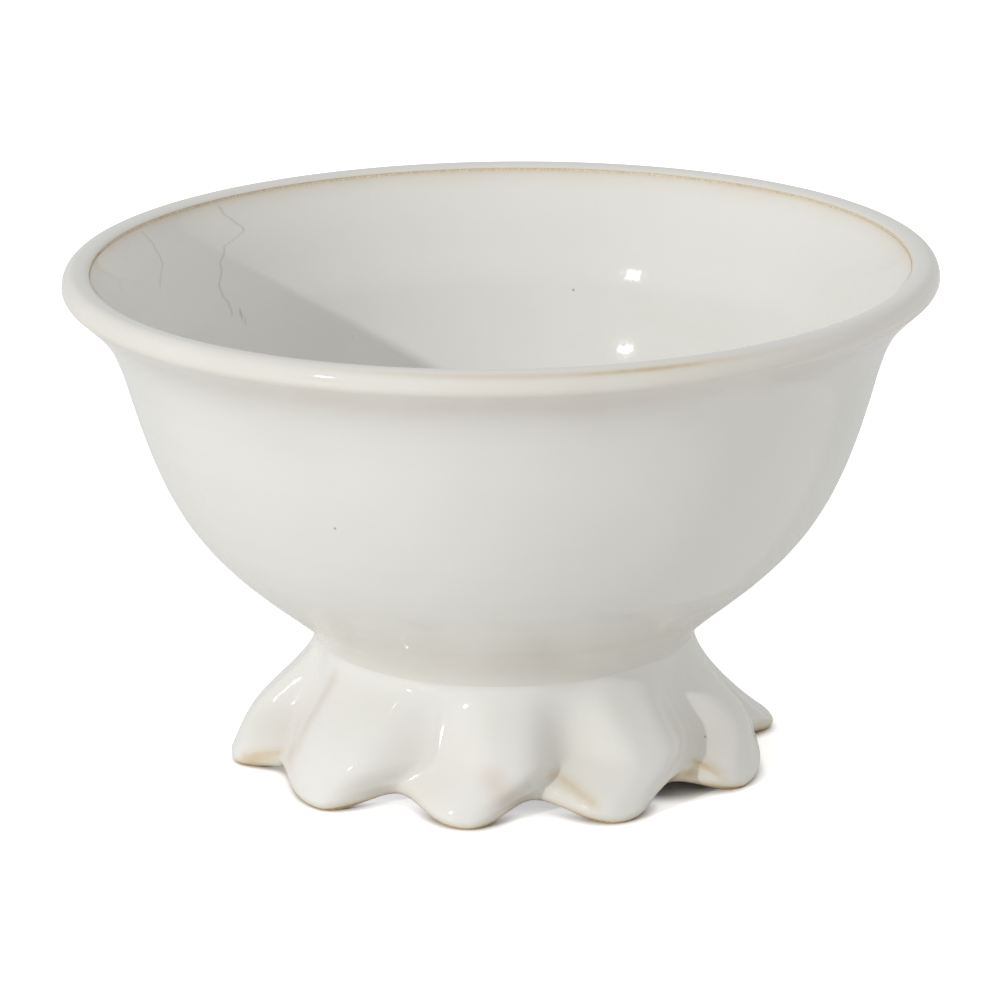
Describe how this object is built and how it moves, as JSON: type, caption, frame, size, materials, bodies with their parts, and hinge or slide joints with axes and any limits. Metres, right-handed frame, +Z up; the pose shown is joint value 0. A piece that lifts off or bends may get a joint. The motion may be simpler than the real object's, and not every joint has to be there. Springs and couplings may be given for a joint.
{
  "type": "footed compote bowl",
  "caption": "Round deep stoneware bowl with a rolled rim, standing on a hollow skirt foot pressed into soft lobes, under a thick white glaze.",
  "frame": {"origin": "on the table, under the centre of the rim", "axes": "+Z up along the bowl's axis; -Y is the front, as the picture shows it; +X is to the viewer's right"},
  "size_m": [0.2, 0.2, 0.1166],
  "materials": {
    "clay": "matte",
    "slip": "matte",
    "glaze": "glossy"
  },
  "bodies": {
    "root": {"bowl": "clay", "foot": "clay", "slip_joint": "slip", "inner_glaze": "glaze", "outer_glaze": "glaze", "foot_glaze": "glaze", "under_glaze": "glaze"}
  },
  "joints": []
}
